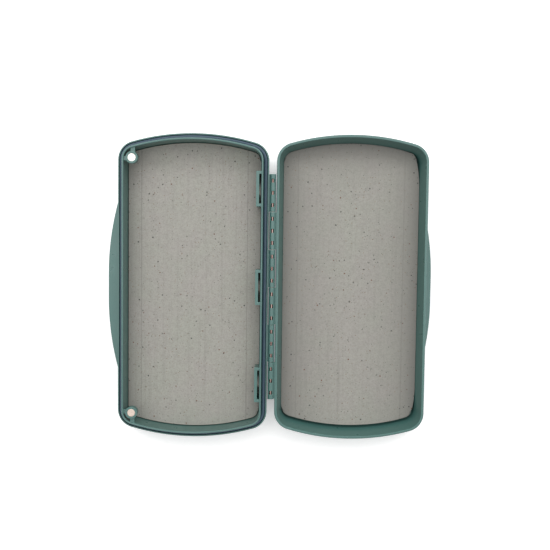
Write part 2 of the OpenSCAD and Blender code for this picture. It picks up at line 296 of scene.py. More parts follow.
def handling_marks() -> bpy.types.NodeTree:
    """Builds the faint rub marks and dust that use leaves.

    Returns:
        A group that gives a mask of rubbed streaks and a mask of dust.
    """
    tree, nodes, source, result = new_group(
        "handling_marks",
        {"Scale": 60.0, "Amount": 0.5},
        {"Rub": "NodeSocketFloat", "Dust": "NodeSocketFloat"},
    )
    streaks_to_dust = 9.0
    drawn_out = (1.0, 0.12, 1.0)
    rub_span = (0.56, 0.74)
    dust_span = (0.45, 0.8)
    place = source.outputs["Place"]
    streak_scale = nodes.math("MULTIPLY", source.outputs["Scale"], streaks_to_dust)
    streak = nodes.noise(nodes.stretched(place, drawn_out), streak_scale, detail=4.0, roughness=0.65)
    rub = nodes.remap(streak, rub_span)
    nodes.link(nodes.math("MULTIPLY", rub, source.outputs["Amount"]), result.inputs["Rub"])
    dust = nodes.noise(place, source.outputs["Scale"], detail=6.0, roughness=0.7)
    spread = nodes.remap(dust, dust_span)
    nodes.link(nodes.math("MULTIPLY", spread, source.outputs["Amount"]), result.inputs["Dust"])
    return tree


def soft_edges() -> bpy.types.NodeTree:
    """Builds the tiny rounding of moulded and machined edges.

    Returns:
        A group that gives a normal rounded over the edges, and a mask of the edges.
    """
    outputs = {"Normal": "NodeSocketVector", "Edge": "NodeSocketFloat"}
    tree, nodes, _, result = new_group("soft_edges", {}, outputs, placed=False)
    turned_span = (0.80, 0.99)
    round_edge = nodes.add("ShaderNodeBevel", samples=6)
    round_edge.inputs["Radius"].default_value = EDGE_ROUND
    flat = nodes.add("ShaderNodeNewGeometry")
    turn = nodes.add("ShaderNodeVectorMath", operation="DOT_PRODUCT")
    nodes.link(round_edge.outputs["Normal"], turn.inputs[0])
    nodes.link(flat.outputs["Normal"], turn.inputs[1])
    nodes.link(round_edge.outputs["Normal"], result.inputs["Normal"])
    nodes.link(nodes.remap(turn.outputs["Value"], turned_span, 1.0, 0.0), result.inputs["Edge"])
    return tree


def painted_crevice_shade() -> bpy.types.NodeTree:
    """Builds the painted shade in narrow grooves and seams, found by ambient occlusion.

    Returns:
        A group that gives a mask of the narrow places.
    """
    inputs = {"Width": 3.0 * MM, "Amount": 0.6}
    outputs = {"Shade": "NodeSocketFloat"}
    tree, nodes, source, result = new_group("painted_crevice_shade", inputs, outputs, placed=False)
    narrow_span = (0.30, 0.82)
    open_sky = nodes.add("ShaderNodeAmbientOcclusion", samples=8)
    nodes.link(source.outputs["Width"], open_sky.inputs["Distance"])
    narrow = nodes.remap(open_sky.outputs["AO"], narrow_span, 1.0, 0.0)
    nodes.link(nodes.math("MULTIPLY", narrow, source.outputs["Amount"]), result.inputs["Shade"])
    return tree


@dataclass(frozen=True)
class Effects:
    """The node groups that several finishes share."""

    grain: bpy.types.NodeTree
    marks: bpy.types.NodeTree
    edges: bpy.types.NodeTree
    crevice_shade: bpy.types.NodeTree

    @staticmethod
    def build() -> "Effects":
        """Builds the groups once."""
        return Effects(
            grain=moulded_grain(), marks=handling_marks(), edges=soft_edges(), crevice_shade=painted_crevice_shade()
        )


def use_group(nodes: Nodes, group: bpy.types.NodeTree, values: dict[str, object]) -> bpy.types.Node:
    """Places a node group in a material and feeds its inputs, by their names."""
    node = nodes.add("ShaderNodeGroup")
    node.node_tree = group
    nodes.feed(node, values)
    return node


def emptied(owner: bpy.types.Material | bpy.types.World) -> Nodes:
    """Switches an owner's shader tree on, empties it and returns the helper for it."""
    owner.use_nodes = True
    owner.node_tree.nodes.clear()
    return Nodes(owner.node_tree)


def new_material(name: str) -> tuple[bpy.types.Material, Nodes, bpy.types.Node]:
    """Starts a material with one Principled shader.

    Args:
        name: Name of the material.

    Returns:
        The material, the helper for its tree, and the shader.
    """
    material = bpy.data.materials.new(name)
    nodes = emptied(material)
    shader = nodes.add("ShaderNodeBsdfPrincipled")
    output = nodes.add("ShaderNodeOutputMaterial")
    nodes.link(shader.outputs["BSDF"], output.inputs["Surface"])
    return material, nodes, shader


def bump(
    nodes: Nodes,
    shader: bpy.types.Node,
    height: bpy.types.NodeSocket,
    strength: float,
    distance: float,
    normal: bpy.types.NodeSocket | None = None,
) -> None:
    """Feeds a height to a shader's normal.

    Args:
        nodes: Helper of the material's tree.
        shader: The shader.
        height: Socket with the height.
        strength: Share of the effect.
        distance: Real height of the relief, in metres.
        normal: Normal that the relief is added to, where it isn't the surface's own.
    """
    node = nodes.add("ShaderNodeBump")
    nodes.feed(node, {"Height": height, "Strength": strength, "Distance": distance})
    if normal is not None:
        nodes.link(normal, node.inputs["Normal"])
    nodes.link(node.outputs["Normal"], shader.inputs["Normal"])


@dataclass(frozen=True)
class MouldedPlastic:
    """Satin moulded plastic or rubber: fine grain, slight cloudiness, faint rubbing and dust, with a painted
    highlight along its edges and painted shade in its grooves and seams.
    """

    name: str
    colour: Colour
    dark: Colour
    pale: Colour
    roughness: float
    spread: float
    relief: float
    marks: float
    # Share of the painted highlight that pales the moulded edges.
    edge_highlight: float = 0.25
    gloss: float = 0.5
    # Painted shade in grooves and seams: its share, and the dark colour it goes to.
    crevice_shade: float = 0.5
    crevice_dark: Colour = (0.010, 0.034, 0.032)
    cloudy: Tint = Tint(0.3, 0.7, 1.0)
    patch_span: Span = (0.3, 0.7)
    rub_pale: float = 0.12
    dust_pale: float = 0.06
    rub_polish: float = 0.03
    grain_strength: float = 0.6

    def build(self, effects: Effects) -> bpy.types.Material:
        """Builds the material.

        Args:
            effects: The shared node groups.

        Returns:
            The material.
        """
        material, nodes, shader = new_material(self.name)
        place = nodes.place()
        grain = use_group(nodes, effects.grain, {"Place": place})
        marks = use_group(nodes, effects.marks, {"Place": place, "Amount": self.marks})
        edges = use_group(nodes, effects.edges, {})
        colour = self.cloudy.lay(nodes, grain.outputs["Cloud"], self.dark, self.colour)
        # Rub and dust are marks on the surface; the edge share is a painted highlight where the rounded
        # edges would catch light.
        paling = (
            (marks.outputs["Rub"], self.rub_pale),
            (marks.outputs["Dust"], self.dust_pale),
            (edges.outputs["Edge"], self.edge_highlight),
        )
        for mask, share in paling:
            colour = nodes.blend(nodes.math("MULTIPLY", mask, share), colour, self.pale)
        # Painted shade: the colour goes towards its dark colour where occlusion finds a narrow groove or
        # seam, away from the edges.
        crevice_shade = use_group(nodes, effects.crevice_shade, {"Amount": self.crevice_shade})
        off_edges = nodes.math("SUBTRACT", 1.0, edges.outputs["Edge"])
        crevice_shading = nodes.math("MULTIPLY", crevice_shade.outputs["Shade"], off_edges)
        nodes.link(nodes.blend(crevice_shading, colour, self.crevice_dark), shader.inputs["Base Color"])
        shader.inputs["Specular IOR Level"].default_value = self.gloss
        smooth = self.roughness - self.spread
        rough = self.roughness + self.spread
        patchy = nodes.remap(grain.outputs["Patch"], self.patch_span, smooth, rough)
        worn_smooth = nodes.math("MULTIPLY", marks.outputs["Rub"], self.rub_polish)
        polished = nodes.math("SUBTRACT", patchy, worn_smooth, clamp=True)
        nodes.link(polished, shader.inputs["Roughness"])
        height = grain.outputs["Height"]
        bump(nodes, shader, height, self.grain_strength, self.relief, edges.outputs["Normal"])
        return material


@dataclass(frozen=True)
class PlainMetal:
    """Bright metal: plated or drawn, with fine lines and slight tarnish."""

    name: str
    colour: Colour
    tarnish: Colour
    roughness: float
    lines: float
    tarnished: Tint = Tint(0.35, 0.75, 0.5)
    patch_span: Span = (0.3, 0.7)
    patch_factors: Span = (0.8, 1.3)
    dust_dulling: float = 0.12
    line_strength: float = 0.5

    def build(self, effects: Effects) -> bpy.types.Material:
        """Builds the material.

        Args:
            effects: The shared node groups.

        Returns:
            The material.
        """
        material, nodes, shader = new_material(self.name)
        place = nodes.place()
        grain = use_group(nodes, effects.grain, {"Place": place, "Fine": 5200.0, "Coarse": 160.0})
        marks = use_group(nodes, effects.marks, {"Place": place, "Scale": 420.0, "Amount": 0.6})
        colour = self.tarnished.lay(nodes, grain.outputs["Cloud"], self.colour, self.tarnish)
        nodes.link(colour, shader.inputs["Base Color"])
        shader.inputs["Metallic"].default_value = 1.0
        smooth, rough = (self.roughness * factor for factor in self.patch_factors)
        patchy = nodes.remap(grain.outputs["Patch"], self.patch_span, smooth, rough)
        dulled = nodes.math("MULTIPLY", marks.outputs["Dust"], self.dust_dulling)
        nodes.link(nodes.math("ADD", patchy, dulled), shader.inputs["Roughness"])
        edges = use_group(nodes, effects.edges, {})
        bump(nodes, shader, marks.outputs["Rub"], self.line_strength, self.lines, edges.outputs["Normal"])
        return material


@dataclass(frozen=True)
class Specks:
    """One kind of coloured crumb in the foam, in real sizes."""

    colour: Colour
    spacing: float
    radius: float
    share: float
    shift: float
    shift_step: Point = (0.37, 0.61, 0.13)
    ragged_cycles: float = 2.0
    ragged_reach: float = 0.7
    smallest: float = 0.6
    softness: float = 0.2

    def mask(self, nodes: Nodes, place: bpy.types.NodeSocket) -> bpy.types.NodeSocket:
        """Builds the mask of these crumbs.

        Args:
            nodes: Helper of the material's tree.
            place: Socket with the place.

        Returns:
            The mask's socket.
        """
        own = nodes.shifted(place, tuple(part * self.shift for part in self.shift_step))
        ragged = nodes.add("ShaderNodeTexNoise", normalize=False)
        nodes.feed(ragged, {"Vector": own, "Scale": self.ragged_cycles / self.radius, "Detail": 2.0})
        nudge = nodes.add("ShaderNodeVectorMath", operation="SCALE")
        nodes.link(ragged.outputs["Color"], nudge.inputs[0])
        nudge.inputs["Scale"].default_value = self.ragged_reach * self.radius
        cells = nodes.add("ShaderNodeTexVoronoi", feature="F1")
        nodes.feed(cells, {"Vector": nodes.shifted(own, nudge.outputs[0]), "Scale": 1.0 / self.spacing})
        split = nodes.add("ShaderNodeSeparateColor")
        nodes.link(cells.outputs["Color"], split.inputs[0])
        size = self.radius / self.spacing
        soft = self.softness * size
        own_size = nodes.remap(split.outputs["Green"], (0.0, 1.0), size * self.smallest, size)
        away = nodes.math("SUBTRACT", cells.outputs["Distance"], own_size)
        crumb = nodes.remap(away, (-soft, soft), 1.0, 0.0)
        chosen = nodes.math("LESS_THAN", split.outputs["Red"], self.share)
        return nodes.math("MULTIPLY", crumb, chosen)


@dataclass(frozen=True)
class SpeckledFoam:
    """Closed-cell foam: skived face with fine cells and knife lines, crumbs, paler cut edges that also carry
    a painted highlight, and painted shade towards the walls.
    """

    name: str
    colour: Colour
    cool: Colour
    shade: Colour
    warm: Colour
    pale_cut_and_highlight: Colour
    specks: tuple[Specks, ...]
    middle_x: float
    line_half: float
    clouds: Tint = Tint(0.35, 0.65, 1.0)
    patches: Tint = Tint(0.4, 0.8, 0.22)
    lines: Tint = Tint(0.52, 0.75, 0.26)
    pits: Tint = Tint(0.50, 0.72, 0.34)
    ridges: Tint = Tint(0.48, 0.30, 0.30)
    plain_share: float = 0.5
    rub_share: float = 0.16
    lit_edge_share: float = 0.8
    line_scale: float = 620.0
    line_stretch: tuple[float, ...] = (1.0, 0.02, 1.0)
    cell_scale: float = 1150.0
    knife_span: Span = (0.1 * MM, 0.5 * MM)
    knife_share: float = 0.45
    patch_span: Span = (0.3, 0.7)
    roughness: Span = (0.72, 0.92)
    gloss: float = 0.3
    rub_depth: float = 0.3
    relief: float = 0.12 * MM
    relief_strength: float = 0.7

    def face_colour(
        self, nodes: Nodes, place: bpy.types.NodeSocket, grain: bpy.types.Node, marks: bpy.types.Node
    ) -> bpy.types.NodeSocket:
        """Builds the foam's colour without crumbs: warm and cool patches, fine cells and lengthwise lines.

        Args:
            nodes: Helper of the material's tree.
            place: Socket with the place.
            grain: Node of the grain group.
            marks: Node of the marks group.

        Returns:
            The colour's socket.
        """
        tone = self.clouds.lay(nodes, grain.outputs["Cloud"], self.cool, self.warm)
        even = nodes.blend(self.plain_share, tone, self.colour)
        mottled = self.patches.lay(nodes, grain.outputs["Patch"], even, self.shade)
        rubbed = nodes.math("MULTIPLY", marks.outputs["Rub"], self.rub_share)
        streaked = nodes.blend(rubbed, mottled, self.shade)
        drawn_out = nodes.stretched(place, self.line_stretch)
        lengthwise = nodes.noise(drawn_out, self.line_scale, detail=3.0, roughness=0.6)
        lined = self.lines.lay(nodes, lengthwise, streaked, self.shade)
        cells = nodes.noise(place, self.cell_scale, detail=2.0, roughness=0.6)
        pitted = self.pits.lay(nodes, cells, lined, self.shade)
        return self.ridges.lay(nodes, cells, pitted, self.pale_cut_and_highlight)

    def knife_lines(self, nodes: Nodes, place: bpy.types.NodeSocket) -> bpy.types.NodeSocket:
        """Builds the mask of the two strong lengthwise lines."""
        split = nodes.add("ShaderNodeSeparateXYZ")
        nodes.link(place, split.inputs[0])
        across = nodes.math("ABSOLUTE", nodes.math("SUBTRACT", split.outputs["X"], self.middle_x))
        from_line = nodes.math("ABSOLUTE", nodes.math("SUBTRACT", across, self.line_half))
        return nodes.remap(from_line, self.knife_span, self.knife_share, 0.0)

    def build(self, effects: Effects) -> bpy.types.Material:
        """Builds the material.

        Args:
            effects: The shared node groups.

        Returns:
            The material.
        """
        material, nodes, shader = new_material(self.name)
        place = nodes.place()
        grain = use_group(nodes, effects.grain, {"Place": place, "Fine": 2300.0, "Coarse": 55.0})
        marks = use_group(nodes, effects.marks, {"Place": place, "Scale": 40.0, "Amount": 1.0})
        colour = self.face_colour(nodes, place, grain, marks)
        # Paler rounded edge: partly the paler cut foam, partly a painted highlight where the edge would
        # catch light.
        edge = nodes.add("ShaderNodeAttribute", attribute_name=LIT_CUT_EDGE)
        colour = nodes.blend(nodes.math("MULTIPLY", edge.outputs["Fac"], self.lit_edge_share), colour, self.pale_cut_and_highlight)
        # Painted shade: the foam is darkened towards its walls, by a share stored per point.
        side = nodes.add("ShaderNodeAttribute", attribute_name=PAINTED_WALL_SHADE)
        colour = nodes.blend(side.outputs["Fac"], colour, self.shade)
        for kind in self.specks:
            colour = nodes.blend(kind.mask(nodes, place), colour, kind.colour)
        colour = nodes.blend(self.knife_lines(nodes, place), colour, self.shade)
        nodes.link(colour, shader.inputs["Base Color"])
        patchy = nodes.remap(grain.outputs["Patch"], self.patch_span, *self.roughness)
        nodes.link(patchy, shader.inputs["Roughness"])
        shader.inputs["Specular IOR Level"].default_value = self.gloss
        rubbed_down = nodes.math("MULTIPLY", marks.outputs["Rub"], -self.rub_depth)
        height = nodes.math("ADD", grain.outputs["Height"], rubbed_down)
        bump(nodes, shader, height, self.relief_strength, self.relief)
        return material


# Shapes


@dataclass(frozen=True)
class Outline:
    """Bow-ended outline of one half, as in the solids: straight sides, round corners and bowed ends."""

    side_x: float = 46.43 * MM
    corner_r: float = 11.5 * MM
    end_r: float = 136.25 * MM
    end_y: float = 93.95 * MM

    def reach_y(self, x: float, inset: float, corner_r: float) -> float:
        """Finds how far the outline reaches along Y.

        Args:
            x: Distance from the half's middle line.
            inset: How far the outline is drawn in.
            corner_r: Corner radius of the drawn-in outline.

        Returns:
            The distance from the middle to the end at that x.
        """
        bow = self.end_r - inset
        centre_y = self.end_y - self.end_r
        corner_x = self.side_x - inset - corner_r
        corner_y = centre_y + math.sqrt((bow - corner_r) ** 2 - corner_x**2)
        touch_x = corner_x * bow / (bow - corner_r)
        across = abs(x)
        if across <= touch_x:
            return centre_y + math.sqrt(bow**2 - across**2)
        return corner_y + math.sqrt(max(0.0, corner_r * corner_r - (across - corner_x) ** 2))

    def ring(self, inset: float, corner_steps: int, bow_steps: int) -> list[tuple[float, float]]:
        """Lists the outline's points, anticlockwise from the right side.

        Args:
            inset: How far the outline is drawn in.
            corner_steps: Steps round each corner.
            bow_steps: Steps along each bowed end.

        Returns:
            The points; the same number whatever the inset.
        """
        corner_x = self.side_x - self.corner_r
        lean = math.asin(corner_x / (self.end_r - self.corner_r))
        centre_y = self.end_y - self.end_r
        corner_y = centre_y + (self.end_r - self.corner_r) * math.cos(lean)
        r = self.corner_r - inset
        corner: list[tuple[float, float]] = []
        for step in range(corner_steps + 1):
            turn = (0.5 * math.pi - lean) * step / corner_steps
            corner.append((corner_x + r * math.cos(turn), corner_y + r * math.sin(turn)))
        bow: list[tuple[float, float]] = []
        for step in range(1, bow_steps):
            turn = lean * (1.0 - 2.0 * step / bow_steps)
            reach = self.end_r - inset
            bow.append((reach * math.sin(turn), centre_y + reach * math.cos(turn)))
        upper = corner + bow + [(-x, y) for x, y in reversed(corner)]
        return upper + [(-x, -y) for x, y in upper]


@dataclass
class SealBead:
    """The gasket as a soft rounded bead that fills its groove."""

    name: str = "gasket_bead"
    node: str = "gasket"
    inner_inset: float = 3.3 * MM
    outer_inset: float = 0.95 * MM
    crown: float = 0.75 * MM
    crown_steps: int = 12
    corner_steps: int = 18
    bow_steps: int = 40
    outline: Outline = field(default_factory=Outline)

    def profile(self, low: float, high: float) -> list[tuple[float, float]]:
        """Lists the bead's cross-section as inset and height.

        Args:
            low: Height of its foot.
            high: Height of its top.

        Returns:
            The points, from the inner foot over the crown to the outer foot.
        """
        middle = 0.5 * (self.inner_inset + self.outer_inset)
        half = 0.5 * (self.inner_inset - self.outer_inset)
        points = [(self.inner_inset, low)]
        for step in range(self.crown_steps + 1):
            turn = math.pi * step / self.crown_steps
            height = high - self.crown + self.crown * math.sin(turn)
            points.append((middle + half * math.cos(turn), height))
        points.append((self.outer_inset, low))
        return points

    def build(self, material: bpy.types.Material) -> bpy.types.Object:
        """Args:
            material: The gasket's material.

        Returns:
            The bead's object.
        """
        low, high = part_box(self.node)
        middle = 0.5 * (low[0] + high[0])
        points: list[Point] = []
        profile = self.profile(low[2], high[2])
        for inset, height in profile:
            ring = self.outline.ring(inset, self.corner_steps, self.bow_steps)
            points += [(middle + x, y, height) for x, y in ring]
        count = len(points) // len(profile)
        faces: list[Face] = []
        for k in range(len(profile)):
            here = k * count
            over = (k + 1) % len(profile) * count
            for i in range(count):
                following = (i + 1) % count
                faces.append((here + i, over + i, over + following, here + following))
        mesh = bpy.data.meshes.new(self.name)
        mesh.from_pydata(points, [], faces)
        mesh.shade_smooth()
        mesh.materials.append(material)
        bead = bpy.data.objects.new(self.name, mesh)
        bpy.context.scene.collection.objects.link(bead)
        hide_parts(self.node)
        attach(bead, Body.BASE.value)
        return bead


@dataclass
class FoamPad:
    """A foam pad with a crowned, cut edge, knife lines and a slightly uneven face.

    The face is a grid whose columns run from one bowed end to the other.
    """

    name: str
    node: str
    body: Body
    outer_side: int
    inset: float
    foot_inset: float
    corner_r: float
    outer_corner_r: float
    lower_gap: float
    trim: float
    # Painted shade towards the walls: its strongest share, how fast it fades, and whether the upper end gets
    # it too.
    wall_shade: float
    wall_shade_width: float
    shaded_end: bool
    seed: float
    trim_length: float = 16.0 * MM
    trim_width: float = 16.0 * MM
    edge: float = 0.55 * MM
    columns: int = 96
    rows: int = 160
    line_half: float = 33.2 * MM
    line_depth: float = 0.10 * MM
    line_width: float = 0.35 * MM
    line_step: float = 0.22 * MM
    line_steps: int = 4
    least_step: float = 0.02 * MM
    gap_power: int = 4
    uneven: float = 0.07 * MM
    swell_scale: tuple[float, float] = (38.0, 16.0)
    ripple_scale: tuple[float, float] = (240.0, 12.0)
    ripple_seed: float = 5.0
    ripple_share: float = 0.3
    headroom: float = 0.02 * MM
    rim_drop: float = 0.02 * MM
    edge_turns: tuple[float, ...] = (30.0, 60.0, 90.0)
    outline: Outline = field(default_factory=Outline)

    def middle_x(self) -> float:
        """Returns the x of the pad's middle line, from its solid."""
        low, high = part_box(self.node)
        return 0.5 * (low[0] + high[0])

    def half_width(self) -> float:
        """Returns the distance from the pad's middle line to its side."""
        return self.outline.side_x - self.inset

    def reach(self, x: float) -> float:
        """Finds where the pad ends along Y at an x that is positive towards the outer side."""
        corner = self.outer_corner_r if x > 0 else self.corner_r
        return self.outline.reach_y(x, self.inset, corner)

    def trimmed(self, x: float, y: float) -> float:
        """Moves a point of the outer side in where the pad's outer corners are cut back.

        Args:
            x: Distance from the middle line, positive towards the outer side.
            y: Distance along the pad.

        Returns:
            The distance from the middle line after the cut.
        """
        half = self.half_width()
        side = min(1.0, max(0.0, (x - half + self.trim_width) / self.trim_width))
        start = self.reach(half) - self.trim_length
        end = min(1.0, max(0.0, (abs(y) - start) / self.trim_length))
        return x - self.trim * side * side * end * end

    def column_places(self) -> list[float]:
        """Returns the x of each column, closer together towards the sides and at the knife lines."""
        half = self.half_width()
        quarter = 0.5 * math.pi
        places = [half * math.sin(quarter * (2.0 * i / self.columns - 1.0)) for i in range(self.columns + 1)]
        for side in (-1.0, 1.0):
            steps = range(-self.line_steps, self.line_steps + 1)
            places += [side * self.line_half + step * self.line_step for step in steps]
        kept: list[float] = []
        for place in sorted(places):
            if not kept or place - kept[-1] > self.least_step:
                kept.append(place)
        return kept

    def face_height(self, x: float, y: float) -> float:
        """Finds how far the face stands off its flat height.

        Args:
            x: Distance from the middle line.
            y: Distance along the pad.

        Returns:
            The height, in metres.
        """
        line = math.exp(-(((abs(x) - self.line_half) / self.line_width) ** 2))
        across, along = self.swell_scale
        swell = noise.noise(Vector((x * across, y * along, self.seed)))
        across, along = self.ripple_scale
        ripple = noise.noise(Vector((x * across, y * along, self.seed + self.ripple_seed)))
        mixed = (1.0 - self.ripple_share) * swell + self.ripple_share * ripple
        return self.uneven * mixed - self.line_depth * line

    def wall_shade_at(self, x: float, y: float) -> float:
        """Finds how much painted shade the face gets, as if its walls hid light: most along the sides and,
        if its end is shaded too, the upper end.

        Args:
            x: Distance from the middle line.
            y: Distance along the pad.

        Returns:
            The share of the darker colour.
        """
        half = self.half_width()
        edge = max(0.0, half - abs(x))
        if self.shaded_end:
            edge = min(edge, max(0.0, self.reach(min(abs(x), half)) - y))
        return self.wall_shade * math.exp(-edge / self.wall_shade_width)

    def build(self, material: bpy.types.Material) -> bpy.types.Object:
        """Args:
            material: The foam's material.

        Returns:
            The pad's object.
        """
        low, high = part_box(self.node)
        points, faces, loop = self.face_grid(high[2] - self.uneven - self.headroom)
        first_cut = len(points)
        self.add_sides(points, faces, loop, low[2])
        middle = self.middle_x()
        side = float(self.outer_side)
        mesh = bpy.data.meshes.new(self.name)
        mesh.from_pydata([(middle + side * x, y, z) for x, y, z in points], [], faces)
        if self.outer_side < 0:
            mesh.flip_normals()
        mesh.shade_smooth()
        mesh.materials.append(material)
        # The rounded edge is marked for the paler colour: cut foam and a painted highlight.
        pale_cut_and_highlight = mesh.attributes.new(LIT_CUT_EDGE, "FLOAT", "POINT")
        # Painted shade towards the walls, kept per point for the foam's material.
        wall_shade = mesh.attributes.new(PAINTED_WALL_SHADE, "FLOAT", "POINT")
        edge = set(loop)
        for index, (x, y, _) in enumerate(points):
            pale_cut_and_highlight.data[index].value = 1.0 if index >= first_cut or index in edge else 0.0
            wall_shade.data[index].value = self.wall_shade_at(x, y)
        pad = bpy.data.objects.new(self.name, mesh)
        bpy.context.scene.collection.objects.link(pad)
        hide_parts(self.node)
        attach(pad, self.body.value)
        return pad

    def face_grid(self, top: float) -> tuple[list[Point], list[Face], list[int]]:
        """Builds the pad's upper face.

        Args:
            top: Height of the face.

        Returns:
            Its points, its faces, and the points of its rim in order.
        """
        places = self.column_places()
        points: list[Point] = []
        grid: list[list[int]] = []
        for x in places:
            reach = self.reach(x)
            column: list[int] = []
            for row in range(self.rows + 1):
                share = row / self.rows
                drawn_up = self.lower_gap * (1.0 - share) ** self.gap_power
                y = reach * (2.0 * share - 1.0) + drawn_up
                column.append(len(points))
                points.append((self.trimmed(x, y), y, top + self.face_height(x, y)))
            grid.append(column)
        last = len(places) - 1
        faces: list[Face] = []
        for i in range(last):
            for j in range(self.rows):
                faces.append((grid[i][j], grid[i + 1][j], grid[i + 1][j + 1], grid[i][j + 1]))
        loop = [grid[i][0] for i in range(last + 1)]
        loop += [grid[last][j] for j in range(1, self.rows + 1)]
        loop += [grid[i][self.rows] for i in range(last - 1, -1, -1)]
        loop += [grid[0][j] for j in range(self.rows - 1, 0, -1)]
        return points, faces, loop

    def add_sides(self, points: list[Point], faces: list[Face], loop: list[int], foot: float) -> None:
        """Rounds the rim over and closes the pad down to its underside.

        Args:
            points: The face's points, which the sides' points are added to.
            faces: The face's faces, which the sides' faces are added to.
            loop: The rim's points in order.
            foot: Height of the underside.
        """
        rim = [Vector(points[index][:2]) for index in loop]
        count = len(rim)
        inward: list[Vector] = []
        for k in range(count):
            along = rim[(k + 1) % count] - rim[k - 1]
            inward.append(Vector((-along.y, along.x)).normalized())
        for k, index in enumerate(loop):
            point = rim[k] + inward[k] * self.edge
            points[index] = (point.x, point.y, points[index][2] - self.rim_drop)
        rings = [loop]
        for turn in self.edge_turns:
            out = self.edge * (1.0 - math.sin(math.radians(turn)))
            drop = self.edge * (1.0 - math.cos(math.radians(turn)))
            ring: list[int] = []
            for k in range(count):
                point = rim[k] + inward[k] * out
                ring.append(len(points))
                points.append((point.x, point.y, points[loop[k]][2] - drop))
            rings.append(ring)
        ring = []
        for k in range(count):
            point = rim[k] + inward[k] * self.foot_inset
            ring.append(len(points))
            points.append((point.x, point.y, foot))
        rings.append(ring)
        for upper, lower in zip(rings, rings[1:]):
            for k in range(count):
                following = (k + 1) % count
                faces.append((upper[k], lower[k], lower[following], upper[following]))
        faces.append(tuple(reversed(ring)))


# Sub-assemblies


@dataclass
class Finishes:
    """All finishes of the box, built once."""

    effects: Effects
    shell: bpy.types.Material = field(init=False)
    gasket: bpy.types.Material = field(init=False)
    backing: bpy.types.Material = field(init=False)
    pin: bpy.types.Material = field(init=False)
    magnet: bpy.types.Material = field(init=False)
    shaded_magnet: bpy.types.Material = field(init=False)

    def __post_init__(self) -> None:
        """Builds each finish."""
        # The shell's edges are paled strongly: a painted highlight.
        self.shell = MouldedPlastic(
            "shell_plastic", colour=(0.062, 0.153, 0.138), dark=(0.056, 0.141, 0.127),
            pale=(0.17, 0.41, 0.36), roughness=0.32, spread=0.05, relief=0.02 * MM, marks=0.5,
            edge_highlight=0.85, gloss=0.75,
        ).build(self.effects)
        # The gasket takes a smaller share of painted shade in its groove, going to a dark navy.
        self.gasket = MouldedPlastic(
            "gasket_rubber", colour=(0.052, 0.092, 0.132), dark=(0.045, 0.082, 0.120),
            pale=(0.13, 0.19, 0.24), roughness=0.5, spread=0.08, relief=0.02 * MM, marks=0.4,
            crevice_shade=0.2, crevice_dark=(0.010, 0.020, 0.032),
        ).build(self.effects)
        self.backing = MouldedPlastic(
            "backing_sheet", colour=(0.020, 0.020, 0.022), dark=(0.015, 0.015, 0.016),
            pale=(0.08, 0.08, 0.08), roughness=0.6, spread=0.05, relief=0.02 * MM, marks=0.3,
        ).build(self.effects)
        self.pin = PlainMetal(
            "pin_steel", colour=(0.42, 0.30, 0.27), tarnish=(0.28, 0.19, 0.17), roughness=0.24,
            lines=0.01 * MM,
        ).build(self.effects)
        self.magnet = PlainMetal(
            "magnet_nickel", colour=(0.90, 0.86, 0.82), tarnish=(0.78, 0.69, 0.62), roughness=0.20,
            lines=0.006 * MM,
        ).build(self.effects)
        # The lower magnets get a darker, warmer copy of the same nickel: a painted reflection of dimmer
        # surroundings.
        self.shaded_magnet = PlainMetal(
            "magnet_nickel_painted_shade", colour=(0.72, 0.61, 0.53), tarnish=(0.52, 0.41, 0.34), roughness=0.26,
            lines=0.006 * MM,
        ).build(self.effects)

    def foam(self, name: str, middle_x: float, line_half: float) -> bpy.types.Material:
        """Builds the foam's finish for one pad.

        Args:
            name: Name of the material.
            middle_x: The pad's middle line, in metres.
            line_half: Distance of the strong lengthwise lines from it.

        Returns:
            The material.
        """
        return SpeckledFoam(
            name, colour=(0.370, 0.362, 0.326), cool=(0.362, 0.372, 0.322), shade=(0.22, 0.212, 0.195),
            warm=(0.384, 0.358, 0.338), pale_cut_and_highlight=(0.47, 0.445, 0.40),
            specks=(
                Specks((0.055, 0.057, 0.053), 3.0 * MM, 0.47 * MM, 0.28, 0.0),
                Specks((0.150, 0.066, 0.044), 3.4 * MM, 0.45 * MM, 0.27, 1.0),
                Specks((0.090, 0.095, 0.080), 1.8 * MM, 0.27 * MM, 0.40, 2.0),
                Specks((0.230, 0.165, 0.120), 1.8 * MM, 0.29 * MM, 0.38, 3.0),
            ),
            middle_x=middle_x, line_half=line_half,
        ).build(self.effects)


def dress(frame: dict, node: str, material: bpy.types.Material) -> None:
    """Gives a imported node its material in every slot."""
    target = frame["nodes"][node]
    if not target.material_slots:
        target.data.materials.append(material)
    for slot in target.material_slots:
        slot.material = material
    log.info("dressed %s in %s", node, material.name)


@dataclass
class Half:
    """One half of the box: its shell, its hidden sheet, its magnets and its pad."""

    body: Body
    shell: str
    backing: str
    magnet_upper: str
    magnet_lower: str
    pad: FoamPad

    def build(self, frame: dict, finishes: Finishes) -> None:
        """Dresses the half and builds its pad.

        Args:
            frame: What the frame's loader returned.
            finishes: The finishes.
        """
        dress(frame, self.shell, finishes.shell)
        dress(frame, self.backing, finishes.backing)
        dress(frame, self.magnet_upper, finishes.magnet)
        # The lower magnet takes the darker copy of the nickel, a painted reflection.
        dress(frame, self.magnet_lower, finishes.shaded_magnet)
        foam = finishes.foam(f"{self.body.value}_foam", self.pad.middle_x(), self.pad.line_half)
        pad = self.pad.build(foam)
        log.info("built %s with %d vertices", pad.name, len(pad.data.vertices))


@dataclass
class HingeAndSeal:
    """The hinge's pin and the gasket in the base's groove."""

    pin: str = "hinge_pin"
    seal: SealBead = field(default_factory=SealBead)

    def build(self, frame: dict, finishes: Finishes) -> None:
        """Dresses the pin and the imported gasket, and builds the bead that is seen."""
        dress(frame, self.pin, finishes.pin)
        dress(frame, self.seal.node, finishes.gasket)
        bead = self.seal.build(finishes.gasket)
        log.info("built %s with %d vertices", bead.name, len(bead.data.vertices))


